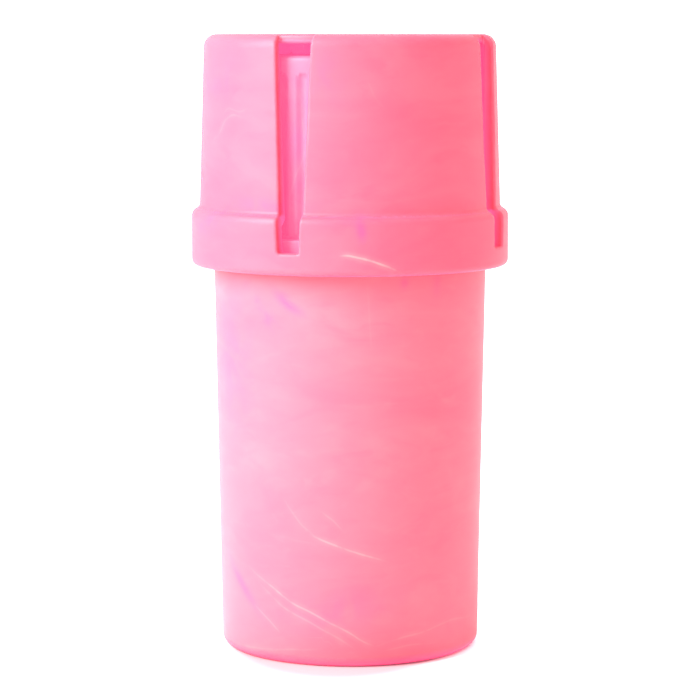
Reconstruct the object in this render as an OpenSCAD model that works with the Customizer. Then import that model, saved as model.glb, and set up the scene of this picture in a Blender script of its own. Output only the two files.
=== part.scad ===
// A pocket vial for tablets with a push-and-turn cap and a twist breaker built into its mouth.
// The outer cap spins freely and turns the upper breaker. Pressed down, its lugs drop into
// pockets of the inner cap, and the same turn unscrews the cap from the vial.
// Millimetres, +Z up. The origin is the middle of the foot ring, on the table.

/* [Heights] */
// Height of the vial from the table to its shoulder
vial_h = 64.6; // [50:0.2:90]
// Height of the neck above the shoulder
neck_h = 16.2; // [16:0.2:22]
// Depth of the spring well in the top of the inner cap
well_depth = 6.4; // [6:0.1:12]
// Length of the shaft's bearing in the inner cap
bearing_l = 5.5; // [4.5:0.5:9]
// How far the outer cap is pressed down to open the vial
push_travel = 1.5; // [0.6:0.1:1.8]

/* [Vial] */
// Bore of the vial's neck, as a radius; every other ring is built outwards from it
neck_bore_r = 16.6; // [13.8:0.1:22]
// How much narrower the vial is at its foot than at its shoulder, as a radius
vial_draft = 1.1; // [0.4:0.1:1.6]
// Wall of the vial
vial_wall = 1.8; // [1.4:0.1:2.6]
// Thickness of the vial's floor
floor_t = 2; // [1.4:0.1:3]
// Height of the hollow under the vial's floor
push_up = 1.2; // [0.6:0.1:2]
// Rounding of the vial's foot
foot_round = 1.6; // [1:0.1:3.5]
// Rounding inside the chamber, at its floor and at its shoulder
chamber_round = 3; // [1.5:0.1:4]

/* [Neck and thread] */
// Wall of the neck
neck_wall = 1.8; // [1.5:0.1:2.6]
// Height of the thread ridges
thread_h = 0.9; // [0.7:0.1:1.2]
// Number of thread starts
thread_starts = 3; // [2:1:4]
// Distance from one ridge to the next, along the axis
thread_pitch = 3; // [2.6:0.1:3.6]
// Angle that each ridge runs round
thread_sweep = 220; // [80:5:230]
// Width of a ridge at its crest
crest_w = 0.8; // [0.5:0.1:1]
// How much wider a ridge is at its root
flank_w = 0.7; // [0.4:0.1:0.8]
// Height of the lowest ridge above the shoulder
thread_rise = 3.4; // [3.2:0.1:4]

/* [Breaker] */
// Depth of the lower breaker's seat below the top of the neck
seat_depth = 7; // [6.2:0.1:9]
// Width of the ledge that the lower breaker sits on
seat_w = 0.8; // [0.5:0.1:1.2]
// Thickness of the lower breaker's plate
stator_plate_t = 2; // [1.5:0.1:3]
// Wall of the lower breaker's ring
ring_wall = 1.4; // [1:0.1:2]
// Radial width of a tooth
tooth_w = 1.1; // [0.8:0.1:1.3]
// Width of a tooth at its root
tooth_root = 2.6; // [1.8:0.1:3]
// Width of a tooth at its tip
tooth_tip = 0.8; // [0.4:0.1:1.2]
// Thickness of the upper breaker's plate
rotor_plate_t = 2; // [1.5:0.1:3]
// Height of the upper breaker's hub above its plate
hub_rise = 1.3; // [0.8:0.1:2.5]

/* [Shaft and screw] */
// Radius of the shaft's journal
shaft_r = 4; // [3.3:0.1:5]
// Hexagon of the shaft, across its flats
hex_af = 6; // [5:0.1:7.5]
// Thickness of the shaft's collar
collar_t = 0.95; // [0.8:0.05:1.5]
// Radius of the screw's shank
screw_r = 1.5; // [1.2:0.1:1.8]
// Radius of the screw's head
head_r = 2.8; // [2.4:0.1:3.2]
// Height of the screw's head
head_h = 1.8; // [1.4:0.1:2]
// Length of the screw below its head
screw_l = 7; // [5:0.5:7.5]
// Section of the shaft's O-ring
o_ring_d = 1; // [0.8:0.1:1.2]

/* [Spring] */
// Wire of the return spring
wire_d = 0.8; // [0.6:0.1:1]
// Number of coils
coils = 5; // [4:0.5:6]
// Thickness of the washer under the spring
washer_t = 0.4; // [0.3:0.1:0.8]

/* [Inner cap] */
// Wall of the inner cap
inner_wall = 1.7; // [1.4:0.1:2.4]
// Thickness of the inner cap's top
ceiling_t = 2.6; // [2.4:0.1:3.2]
// Width of the flange that the outer cap snaps under
flange_w = 1.7; // [1.3:0.1:2.4]
// Thickness of that flange
flange_t = 2.8; // [1.8:0.1:3.6]
// Number of flutes round the inner cap
flutes = 36; // [24:2:40]
// Depth of a flute
flute_depth = 0.45; // [0.3:0.05:0.6]
// Smooth band above the flutes
flute_band = 2.6; // [2:0.1:6]
// Smooth band between the flutes and the flange
flute_land = 0.5; // [0.3:0.1:2]
// Thickness of the gasket
gasket_t = 0.9; // [0.7:0.1:1.4]
// Height of the gasket's lip
gasket_lip = 1.5; // [1:0.1:2.5]

/* [Outer cap] */
// Wall of the outer cap just under its top
petal_wall = 1.7; // [1.4:0.1:2.4]
// How much wider the outer cap is above its skirt than at its top, as a radius
cap_draft = 0.8; // [0.3:0.1:1.2]
// Thickness of the outer cap's top
top_t = 1.4; // [1.2:0.1:2.4]
// Rounding of the outer cap's top edge
cap_round = 2; // [1.5:0.1:2.4]
// Wall of the skirt
skirt_wall = 2.4; // [2:0.1:3]
// Height of the skirt, up to its rounded shoulder
skirt_h = 7.95; // [7.6:0.05:10]
// Height of the bead inside the skirt
bead_h = 2.55; // [1.5:0.05:3]
// Number of slots round the outer cap
slots = 4; // [2:1:6]
// Direction of the first slot, anticlockwise from +X
slot_angle = -112.2; // [-180:0.1:180]
// Width of a slot at its bottom
slot_w = 3.44; // [2.5:0.01:5]
// How much a slot widens for each millimetre of height
slot_flare = 0.0712; // [0:0.001:0.1]
// Height of a slot's bottom above the skirt's lower edge
slot_rise = 3.5; // [3:0.05:4.5]
// Number of drive lugs, and of the pockets that they drop into
lugs = 12; // [6:6:12]
// Width of a lug at its root
lug_w = 3; // [2:0.1:3.4]

/* [Clearances] */
// Between the thread ridges and the walls that they face
thread_gap = 0.3; // [0.2:0.05:0.5]
// Between the inner cap and the outer cap's wall
shell_gap = 0.6; // [0.4:0.1:1]
// Between the flange and the skirt
skirt_gap = 0.3; // [0.25:0.05:0.6]
// How far the bead reaches under the flange
bead_catch = 0.6; // [0.4:0.1:0.9]
// Between the bead and the flange above it
bead_gap = 0.1; // [0.05:0.05:0.2]
// Between the bead and the vial
vial_gap = 0.3; // [0.3:0.1:0.8]
// Between the inner cap and the vial's shoulder
shoulder_gap = 0.4; // [0.3:0.1:0.8]
// Of the lower breaker in its seat
seat_fit = 0.02; // [0.01:0.01:0.05]
// Of the shaft in its bearing, and of the gasket on the seal tube
running_fit = 0.05; // [0.02:0.01:0.1]
// Of the hexagon in the outer cap, and of the tang in the upper breaker, on each face
slide_fit = 0.05; // [0.03:0.01:0.1]
// Of the screw in the shaft
screw_fit = 0.02; // [0.01:0.01:0.05]
// Left between the outer cap's top and the inner cap when it is pressed down
press_gap = 0.4; // [0.1:0.05:0.6]
// Between a lug and the inner cap when the outer cap is up
lug_gap = 0.15; // [0.1:0.05:0.3]
// Between a lug and the walls of its pocket
lug_side_gap = 0.3; // [0.2:0.05:0.5]
// Between passing rows of teeth
tooth_pass = 0.5; // [0.4:0.05:0.8]
// Between the tips of the teeth and the plate that they face
tooth_end_gap = 0.9; // [0.6:0.1:1.2]
// Between the ring of the lower breaker and the upper breaker's plate
plate_gap = 0.5; // [0.3:0.1:1]
// Between the spring and what it surrounds
spring_gap = 0.4; // [0.3:0.1:0.6]
// Between the upper breaker's hub and the inner cap
hub_gap = 0.2; // [0.1:0.05:0.4]

/* [Hidden] */
$fn = 64;
pink = [1, 0.62, 0.73];
acetal = [0.93, 0.92, 0.88];
steel = [0.72, 0.74, 0.76];
silicone = [0.86, 0.88, 0.9];
edge = 0.3;         // small chamfers
bite = 0.4;         // how far a joined piece is sunk into the wall that carries it
arc_steps = 8;      // straight pieces in a quarter round

// rings, from the neck's bore outwards
neck_r = neck_bore_r + neck_wall;
thread_crest_r = neck_r + thread_h;
inner_bore_r = thread_crest_r + thread_gap;
inner_crest_r = neck_r + thread_gap;
inner_r = inner_bore_r + inner_wall;
petal_bore_r = inner_r + shell_gap;
cap_top_r = petal_bore_r + petal_wall;
cap_foot_r = cap_top_r + cap_draft;
flange_r = inner_r + flange_w;
skirt_bore_r = flange_r + skirt_gap;
skirt_r = skirt_bore_r + skirt_wall;
bead_r = flange_r - bead_catch;
vial_top_r = bead_r - vial_gap;
vial_foot_r = vial_top_r - vial_draft;
throat_r = neck_bore_r - seat_w;
chamber_top_r = vial_top_r - vial_wall;
chamber_foot_r = vial_foot_r - vial_wall;

// levels, from the table upwards
floor_z = push_up + floor_t;
roof_z = vial_h - vial_wall;
neck_z = vial_h + neck_h;
seat_z = neck_z - seat_depth;
stator_plate_z = seat_z + stator_plate_t;
ring_top_z = neck_z - plate_gap;
rotor_z = ring_top_z + plate_gap;
tooth_room = rotor_z - stator_plate_z;
rotor_top_z = rotor_z + rotor_plate_t;
hub_top_z = rotor_top_z + hub_rise;
bearing_z = hub_top_z + hub_gap;
well_z = bearing_z + bearing_l;
inner_top_z = well_z + well_depth;
ceiling_z = inner_top_z - ceiling_t;
flange_z = vial_h + shoulder_gap;
flange_top_z = flange_z + flange_t;
under_top_z = inner_top_z + push_travel + press_gap;
cap_z = under_top_z + top_t;
bead_top_z = flange_z - bead_gap;
skirt_z = bead_top_z - bead_h;
skirt_top_z = skirt_z + skirt_h;
shoulder_round = cap_foot_r < skirt_r ? skirt_r - cap_foot_r : 0;
step_z = flange_top_z + push_travel + bite;
slot_z = skirt_z + slot_rise;

// the breaker's rows of teeth, from the ring inwards
ring_r = neck_bore_r - seat_fit;
ring_bore_r = neck_bore_r - ring_wall;
row_step = tooth_w + tooth_pass;
stator_outer_row = ring_bore_r - tooth_w / 2 - 0.15;
rotor_outer_row = stator_outer_row - row_step;
stator_inner_row = rotor_outer_row - row_step;
stator_hole_r = stator_inner_row - tooth_w / 2 - 0.25;
rotor_inner_row = stator_inner_row - row_step - 0.25;
rotor_plate_r = neck_bore_r - 0.8;
pick_reach = 0.8;   // how far the inner teeth reach into the lower breaker's opening

// shaft, screw and spring
tang_corner_r = shaft_r - 0.46;
tang_w = tang_corner_r * sqrt(2);
collar_r = shaft_r + 1.2;
collar_z = well_z + running_fit;
collar_top_z = collar_z + collar_t;
boss_r = hex_af / sqrt(3) + slide_fit + 1.79;
boss_z = collar_top_z + push_travel + 0.4;
hex_top_z = under_top_z - push_travel - 0.3;
spring_bore_r = max(boss_r, collar_r) + spring_gap;
spring_r = spring_bore_r + wire_d / 2;
well_r = spring_r + wire_d / 2 + 0.9;
well_wall = 1.5;
washer_bore_r = collar_r + 0.2;
washer_r = well_r - 0.2;
spring_z = well_z + washer_t;
spring_top_z = under_top_z - 0.05;
web_t = 1;          // what the screw clamps
web_z = hub_top_z - 3.9;
hub_bottom_z = web_z - head_h - 0.2;
hub_r = max(tang_corner_r + slide_fit + 1.1, head_r + 1.6);
groove_w = o_ring_d + 0.3;
groove_r = shaft_r - o_ring_d;
groove_mid_z = (bearing_z + well_z) / 2;
tube_bore_r = neck_bore_r + 0.2;
tube_r = neck_r - 0.2;
tube_z = neck_z + gasket_t;
lug_r = [well_r + well_wall + 2.6, tube_bore_r - 0.3];
lug_h = under_top_z - inner_top_z - lug_gap;
lug_taper = 0.6;
pocket_depth = push_travel - lug_gap + 0.45;
lead = thread_starts * thread_pitch;

// points of a circular arc in a profile, from one angle to another
function arc(c, r, from, to) =
    [for (i = [0 : arc_steps]) let (a = from + (to - from) * i / arc_steps) c + r * [cos(a), sin(a)]];

// one round shape from its half profile
module turned(profile) { rotate_extrude() polygon(profile); }

// a bar along a radius with a tapered section: widths at its lower and upper faces
module radial_wedge(r_from, r_to, z_from, z_to, w_low, w_high) {
    translate([r_from, 0, 0])
        rotate([90, 0, 90])
            linear_extrude(r_to - r_from)
                polygon([[-w_low / 2, z_from], [w_low / 2, z_from], [w_high / 2, z_to], [-w_high / 2, z_to]]);
}

// faces of a closed strip of rings, each with the same number of points
function strip_faces(rings, n) = concat(
    [[for (k = [n - 1 : -1 : 0]) k]],
    [for (i = [0 : rings - 2], k = [0 : n - 1])
        [i * n + k, i * n + (k + 1) % n, (i + 1) * n + (k + 1) % n, (i + 1) * n + k]],
    [[for (k = [0 : n - 1]) (rings - 1) * n + k]]);

// the same faces seen from the other side
function flipped(faces) = [for (f = faces) [for (k = [len(f) - 1 : -1 : 0]) f[k]]];

// one ridge of the thread: its section rises along the helix and runs out at both ends
module ridge(root_r, crest_r, z0, a0) {
    steps = ceil(thread_sweep / 6);
    fade = 14;
    root_w = crest_w + flank_w * (abs(crest_r - root_r) / thread_h);
    points = [for (i = [0 : steps])
        let (a = thread_sweep * i / steps,
             full = min(1, a / fade, (thread_sweep - a) / fade),
             r = root_r + (crest_r - root_r) * (0.25 + 0.75 * full),
             z = z0 + lead * a / 360)
        each [for (p = [[root_r, -root_w / 2], [r, -crest_w / 2], [r, crest_w / 2], [root_r, root_w / 2]])
            [p[0] * cos(a + a0), p[0] * sin(a + a0), z + p[1]]]];
    faces = strip_faces(steps + 1, 4);
    polyhedron(points, crest_r > root_r ? faces : flipped(faces));
}

// every start of the thread
module ridges(root_r, crest_r, z0) {
    for (k = [0 : thread_starts - 1]) ridge(root_r, crest_r, z0, 360 * k / thread_starts);
}

// a row of teeth: wedges that stand on a plate, or hang from one
module tooth_row(row_r, count, root_z, tip_z, reach = 0) {
    low_z = min(root_z, tip_z);
    high_z = max(root_z, tip_z);
    up = tip_z > root_z;
    for (k = [0 : count - 1])
        rotate(360 * k / count)
            radial_wedge(row_r - tooth_w / 2, row_r + tooth_w / 2 + reach, low_z, high_z,
                         up ? tooth_root : tooth_tip, up ? tooth_tip : tooth_root);
}

// a ring of round holes
module hole_ring(row_r, count, r, z, h) {
    for (k = [0 : count - 1])
        rotate(360 * k / count)
            translate([row_r, 0, z])
                cylinder(r = r, h = h);
}

// the vial: foot ring, chamber, shoulder, and a threaded neck with a seat for the lower breaker
module vial() {
    shoulder = 0.8;
    foot_in_r = vial_foot_r - foot_round - 1.5;
    outer = concat(
        [[0, push_up], [foot_in_r - push_up, push_up], [foot_in_r, 0]],
        arc([vial_foot_r - foot_round, foot_round], foot_round, -90, 0),
        arc([vial_top_r - shoulder, vial_h - shoulder], shoulder, 0, 90),
        [[neck_r + edge, vial_h], [neck_r, vial_h + edge], [neck_r, neck_z - edge], [neck_r - edge, neck_z]]);
    inner = concat(
        [[neck_bore_r + edge, neck_z], [neck_bore_r, neck_z - edge], [neck_bore_r, seat_z]],
        [[throat_r, seat_z], [throat_r, roof_z + 1.3], [throat_r + 1.3, roof_z]],
        arc([chamber_top_r - chamber_round, roof_z - chamber_round], chamber_round, 90, 0),
        arc([chamber_foot_r - chamber_round, floor_z + chamber_round], chamber_round, 0, -90),
        [[0, floor_z]]);
    color(pink)
        union() {
            turned(concat(outer, inner));
            ridges(neck_r - bite, thread_crest_r, vial_h + thread_rise);
        }
}

// the lower breaker: a ring pressed into the neck, with a toothed plate round its opening
module lower_breaker() {
    top = rotor_z - tooth_end_gap;
    color(acetal)
        union() {
            turned([[stator_hole_r, seat_z], [ring_r - edge, seat_z], [ring_r, seat_z + edge],
                    [ring_r, ring_top_z], [ring_bore_r, ring_top_z], [ring_bore_r, stator_plate_z],
                    [stator_hole_r, stator_plate_z]]);
            tooth_row(stator_inner_row, 10, stator_plate_z - bite, top);
            tooth_row(stator_outer_row, 14, stator_plate_z - bite, top, bite);
        }
}

// the gasket: a silicone ring on the neck, with a lip that hugs the inner cap's seal tube
module rim_gasket() {
    lip_bore_r = tube_r + running_fit;
    lip_r = inner_bore_r - 0.6;
    color(silicone)
        turned([[tube_bore_r - 0.1, neck_z], [lip_r - edge, neck_z], [lip_r, neck_z + edge],
                [lip_r, tube_z + gasket_lip], [lip_bore_r, tube_z + gasket_lip], [lip_bore_r, tube_z],
                [tube_bore_r - 0.1, tube_z]]);
}

// the inner cap: threaded wall, snap flange, seal tube, bearing, spring well and drive pockets
module inner_cap() {
    bore_r = shaft_r + running_fit;
    bearing_r = bore_r + 2.15;
    well_out_r = well_r + well_wall;
    rim = 0.8;
    flute_r = 1.3;
    flute_h = inner_top_z - flute_band - flange_top_z - flute_land;
    mouth_w = lug_w + 2 * lug_side_gap;
    profile = concat(
        [[inner_bore_r, flange_z], [flange_r - edge, flange_z], [flange_r, flange_z + edge]],
        [[flange_r, flange_top_z - edge], [flange_r - edge, flange_top_z], [inner_r, flange_top_z]],
        arc([inner_r - rim, inner_top_z - rim], rim, 0, 90),
        [[well_r, inner_top_z], [well_r, well_z], [bore_r, well_z], [bore_r, bearing_z]],
        [[bearing_r, bearing_z], [bearing_r, well_z - 2], [well_out_r, well_z - 2], [well_out_r, ceiling_z]],
        [[tube_bore_r, ceiling_z], [tube_bore_r, tube_z], [tube_r, tube_z], [tube_r, ceiling_z]],
        [[inner_bore_r, ceiling_z]]);
    color(pink)
        difference() {
            union() {
                turned(profile);
                ridges(inner_bore_r + bite, inner_crest_r, vial_h + thread_rise - thread_pitch / 2);
            }
            for (k = [0 : flutes - 1])
                rotate(360 * k / flutes)
                    translate([inner_r + flute_r - flute_depth, 0, flange_top_z + flute_land])
                        cylinder(r = flute_r, h = flute_h);
            for (k = [0 : lugs - 1])
                rotate(360 * k / lugs)
                    radial_wedge(lug_r[0] - 0.5, lug_r[1] + 0.5, inner_top_z - pocket_depth, inner_top_z + 1,
                                 mouth_w - lug_taper, mouth_w + lug_taper / pocket_depth);
        }
}

// the washer that lets the spring turn with the outer cap
module spring_washer() {
    color(steel)
        translate([0, 0, well_z])
            difference() {
                cylinder(r = washer_r, h = washer_t);
                translate([0, 0, -1]) cylinder(r = washer_bore_r, h = washer_t + 2);
            }
}

// the return spring: round wire whose first and last turns lie close
module return_spring() {
    sides = 8;
    per_turn = 16;
    steps = coils * per_turn;
    low = spring_z + wire_d / 2;
    high = spring_top_z - wire_d / 2;
    close_turn = 0.9;
    close_rise = wire_d * 1.06 * close_turn;
    open_rise = (high - low) - 2 * close_rise;
    open_turns = coils - 2 * close_turn;
    function wire_z(t) = t < close_turn ? low + wire_d * 1.06 * t
        : t > coils - close_turn ? high - wire_d * 1.06 * (coils - t)
        : low + close_rise + open_rise * (t - close_turn) / open_turns;
    points = [for (i = [0 : steps])
        let (t = i / per_turn, a = 360 * t, z = wire_z(t))
        each [for (k = [0 : sides - 1])
            let (b = 360 * (k + 0.5) / sides, r = spring_r + wire_d / 2 * cos(b))
            [r * cos(a), r * sin(a), z + wire_d / 2 * sin(b)]]];
    color(steel) polyhedron(points, strip_faces(steps + 1, sides));
}

// the shaft: hexagon for the outer cap, collar, journal with an O-ring groove, tang for the breaker
module drive_shaft() {
    color(acetal)
        difference() {
            union() {
                translate([0, 0, collar_top_z - bite])
                    cylinder(r = hex_af / sqrt(3), h = hex_top_z - collar_top_z + bite, $fn = 6);
                turned([[0, hub_top_z], [shaft_r, hub_top_z], [shaft_r, groove_mid_z - groove_w / 2],
                        [groove_r, groove_mid_z - groove_w / 2], [groove_r, groove_mid_z + groove_w / 2],
                        [shaft_r, groove_mid_z + groove_w / 2], [shaft_r, collar_z], [collar_r, collar_z],
                        [collar_r, collar_top_z], [0, collar_top_z]]);
                translate([-tang_w / 2, -tang_w / 2, web_z + web_t + 0.05])
                    cube([tang_w, tang_w, hub_top_z - web_z - web_t - 0.05 + bite]);
            }
            translate([0, 0, web_z])
                cylinder(r = screw_r + screw_fit, h = screw_l + 0.5);
        }
}

// the O-ring that keeps powder out of the bearing
module shaft_o_ring() {
    color([0.15, 0.15, 0.16])
        rotate_extrude()
            translate([groove_r + screw_fit + o_ring_d / 2, groove_mid_z])
                circle(r = o_ring_d / 2);
}

// the upper breaker: a sieve plate with teeth that hang between the lower ones
module upper_breaker() {
    tang_hole = tang_w + 2 * slide_fit;
    color(acetal)
        difference() {
            union() {
                turned([[0, hub_bottom_z], [hub_r, hub_bottom_z], [hub_r, rotor_z], [rotor_plate_r - edge, rotor_z],
                        [rotor_plate_r, rotor_z + edge], [rotor_plate_r, rotor_top_z], [hub_r, rotor_top_z],
                        [hub_r, hub_top_z], [0, hub_top_z]]);
                tooth_row(rotor_inner_row, 6, rotor_z + bite, stator_plate_z - pick_reach);
                tooth_row(rotor_outer_row, 9, rotor_z + bite, stator_plate_z + tooth_end_gap);
            }
            translate([-tang_hole / 2, -tang_hole / 2, web_z + web_t])
                cube([tang_hole, tang_hole, hub_top_z]);
            translate([0, 0, web_z - 1])
                cylinder(r = screw_r + 0.15, h = web_t + 2);
            translate([0, 0, hub_bottom_z - 1])
                cylinder(r = head_r + 0.4, h = web_z - hub_bottom_z + 1);
            hole_ring((hub_r + rotor_inner_row - tooth_w / 2) / 2, 8, 1, rotor_z - 1, rotor_plate_t + 2);
            hole_ring((rotor_inner_row + rotor_outer_row) / 2, 15, 0.9, rotor_z - 1, rotor_plate_t + 2);
            hole_ring((rotor_outer_row + tooth_w / 2 + rotor_plate_r) / 2, 24, 0.75, rotor_z - 1, rotor_plate_t + 2);
        }
}

// the screw that clamps the upper breaker to the shaft
module breaker_screw() {
    slot = 0.8;
    color(steel)
        difference() {
            union() {
                turned([[0, web_z - head_h], [head_r - 0.5, web_z - head_h], [head_r, web_z - head_h + 0.5],
                        [head_r, web_z], [0, web_z]]);
                translate([0, 0, web_z - bite]) cylinder(r = screw_r, h = screw_l + bite);
            }
            for (a = [0, 90])
                rotate(a)
                    translate([-1.6, -slot / 2, web_z - head_h - 1])
                        cube([3.2, slot, 2]);
        }
}

// the outer cap: slotted wall on a plain skirt, snap bead, hexagon boss and drive lugs
module outer_cap() {
    bottom_round = 1;
    profile = concat(
        [[0, cap_z]],
        arc([cap_top_r - cap_round, cap_z - cap_round], cap_round, 90, 0),
        arc([cap_foot_r, skirt_top_z], shoulder_round, 90, 0),
        arc([skirt_r - bottom_round, skirt_z + bottom_round], bottom_round, 0, -90),
        [[bead_r + edge, skirt_z], [bead_r, skirt_z + edge], [bead_r, bead_top_z - edge]],
        [[skirt_bore_r, bead_top_z], [skirt_bore_r, step_z], [petal_bore_r, step_z + 1]],
        [[petal_bore_r, under_top_z], [0, under_top_z]]);
    slot_top_w = slot_w + slot_flare * (cap_z + 1 - slot_z);
    color(pink)
        difference() {
            union() {
                turned(profile);
                translate([0, 0, boss_z]) cylinder(r = boss_r, h = under_top_z - boss_z + bite);
                for (k = [0 : lugs - 1])
                    rotate(360 * k / lugs)
                        radial_wedge(lug_r[0], lug_r[1], under_top_z - lug_h, under_top_z + bite,
                                     lug_w - lug_taper, lug_w);
            }
            translate([0, 0, boss_z - 1])
                cylinder(r = hex_af / sqrt(3) + slide_fit * 2 / sqrt(3), h = under_top_z - boss_z + 1, $fn = 6);
            difference() {
                for (k = [0 : slots - 1])
                    rotate(slot_angle + 360 * k / slots)
                        radial_wedge(inner_r - 1, skirt_r + 1, slot_z, cap_z + 1, slot_w, slot_top_w);
                translate([0, 0, slot_z - 1]) cylinder(r = petal_bore_r - 0.1, h = cap_z);
            }
        }
}

vial();
lower_breaker();
rim_gasket();
inner_cap();
spring_washer();
return_spring();
drive_shaft();
shaft_o_ring();
upper_breaker();
breaker_screw();
outer_cap();
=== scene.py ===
# %% [markdown]
# # A marbled pink tablet vial with a push-and-turn cap
#
# The object is a moulded plastic vial with two caps, one over the other. The outer cap is cut
# by four tall slots, and the fluted inner cap shows through them. Inside are two toothed
# breakers, a shaft, a spring and a few seals. This lesson gives each solid of the frame a
# moulded skin with soft edges, and each material its own marbling, grain or brushing.

# %% Frame
import math

import bpy
import numpy as np
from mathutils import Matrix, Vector


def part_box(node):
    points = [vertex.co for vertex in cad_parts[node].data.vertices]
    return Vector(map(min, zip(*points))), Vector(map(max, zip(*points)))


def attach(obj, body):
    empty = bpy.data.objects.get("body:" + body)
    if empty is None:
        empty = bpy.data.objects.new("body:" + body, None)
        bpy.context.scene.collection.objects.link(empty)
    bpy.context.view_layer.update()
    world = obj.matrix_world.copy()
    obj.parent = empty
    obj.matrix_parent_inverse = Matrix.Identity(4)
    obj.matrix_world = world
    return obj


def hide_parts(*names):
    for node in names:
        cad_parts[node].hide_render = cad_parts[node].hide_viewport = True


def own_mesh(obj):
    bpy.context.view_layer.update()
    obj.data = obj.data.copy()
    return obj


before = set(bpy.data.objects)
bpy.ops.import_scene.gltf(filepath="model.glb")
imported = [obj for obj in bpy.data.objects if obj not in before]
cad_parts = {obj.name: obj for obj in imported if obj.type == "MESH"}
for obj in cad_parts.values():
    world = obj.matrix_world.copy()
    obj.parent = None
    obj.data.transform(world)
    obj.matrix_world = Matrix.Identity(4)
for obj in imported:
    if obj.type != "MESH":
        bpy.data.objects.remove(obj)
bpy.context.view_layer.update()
MM = 0.001

# %% [markdown]
# A moulded part has no sharp edges, and its slots, flutes and threads run into each other.
# Booleans and a bevel would leave slivers where a slanted slot crosses a round wall. Here
# each part is a distance field instead: a function that says how far a point is from the
# surface, negative inside. Three small rules combine fields and round what they make.

# %% Field rules
def edge(a, b, r):
    """Inside both fields, with the corner between them rounded to radius r."""
    return np.minimum(-r, np.maximum(a, b)) + np.hypot(np.maximum(r + a, 0), np.maximum(r + b, 0))


def weld(a, b, r):
    """Inside either field, with a fillet of radius r where they meet."""
    return np.maximum(r, np.minimum(a, b)) - np.hypot(np.maximum(r - a, 0), np.maximum(r - b, 0))


def carve(a, b, r):
    """The first field with the second taken out of it, and the new edge rounded."""
    return edge(a, -b, r)


def between(v, a, b):
    """A slab from a to b along one coordinate."""
    return np.maximum(a - v, v - b)


def around(p):
    """Distance from the axis, angle and height of each point."""
    return np.hypot(p[:, 0], p[:, 1]), np.arctan2(p[:, 1], p[:, 0]), p[:, 2]


def slanted(r, z, a, b):
    """Distance past a sloping line of the half profile, from point a to point b; outside is on its right."""
    length = math.hypot(b[0] - a[0], b[1] - a[1])
    return ((r - a[0]) * (b[1] - a[1]) - (z - a[1]) * (b[0] - a[0])) / length


def repeated(r, angle, count, first=0.0):
    """Radial and sideways coordinates inside the nearest of a ring of copies."""
    pitch = 2 * math.pi / count
    a = np.mod(angle - first + pitch / 2, pitch) - pitch / 2
    return r * np.cos(a), r * np.sin(a)


def wedge(x, y, z, x_range, z_range, w_low, w_high):
    """A bar along the radius whose width changes from its lower face to its upper one."""
    half = (w_low + (w_high - w_low) * (z - z_range[0]) / (z_range[1] - z_range[0])) / 2
    return np.maximum(np.maximum(np.abs(y) - half, between(x, *x_range)), between(z, *z_range))


print("field rules ready")

# %% [markdown]
# A field becomes a mesh by surface nets: space is cut into small cubes, each cube that the
# surface passes through gets one vertex, and each grid edge that crosses the surface gets
# one quad. Blocks far from the surface are skipped. The vertices are then relaxed and
# pushed back onto the exact surface, so even a coarse grid gives a true cylinder, and the
# field's own slope gives perfect normals.

# %% Meshing a field
BLOCK = 8


def slope(field, p, h=0.02):
    """The field's unit normal at each point, from four samples."""
    total = np.zeros_like(p)
    for k in np.array([[1, -1, -1], [-1, -1, 1], [-1, 1, -1], [1, 1, 1]], float):
        total += k * field(p + k * h)[:, None]
    return total / np.maximum(np.linalg.norm(total, axis=1), 1e-12)[:, None]


def sample(field, start, step, blocks):
    """The field on a grid, exact near the surface and one value per block elsewhere."""
    size = blocks * BLOCK + 1
    index = np.indices(blocks).reshape(3, -1).T
    centre = start + (index + 0.5) * BLOCK * step
    rough = field(centre)
    values = np.repeat(np.repeat(np.repeat(
        rough.reshape(blocks), BLOCK, 0), BLOCK, 1), BLOCK, 2).astype(np.float32)
    values = np.pad(values, ((0, 1), (0, 1), (0, 1)), mode="edge")
    near = index[np.abs(rough) < 0.95 * BLOCK * step]
    corner = np.indices((BLOCK + 1,) * 3).reshape(3, -1).T
    for part in np.array_split(near, max(1, len(near) // 600)):
        at = (part[:, None, :] * BLOCK + corner[None, :, :]).reshape(-1, 3)
        values[at[:, 0], at[:, 1], at[:, 2]] = field(start + at * step)
    assert values.shape == tuple(size)
    return values


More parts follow.
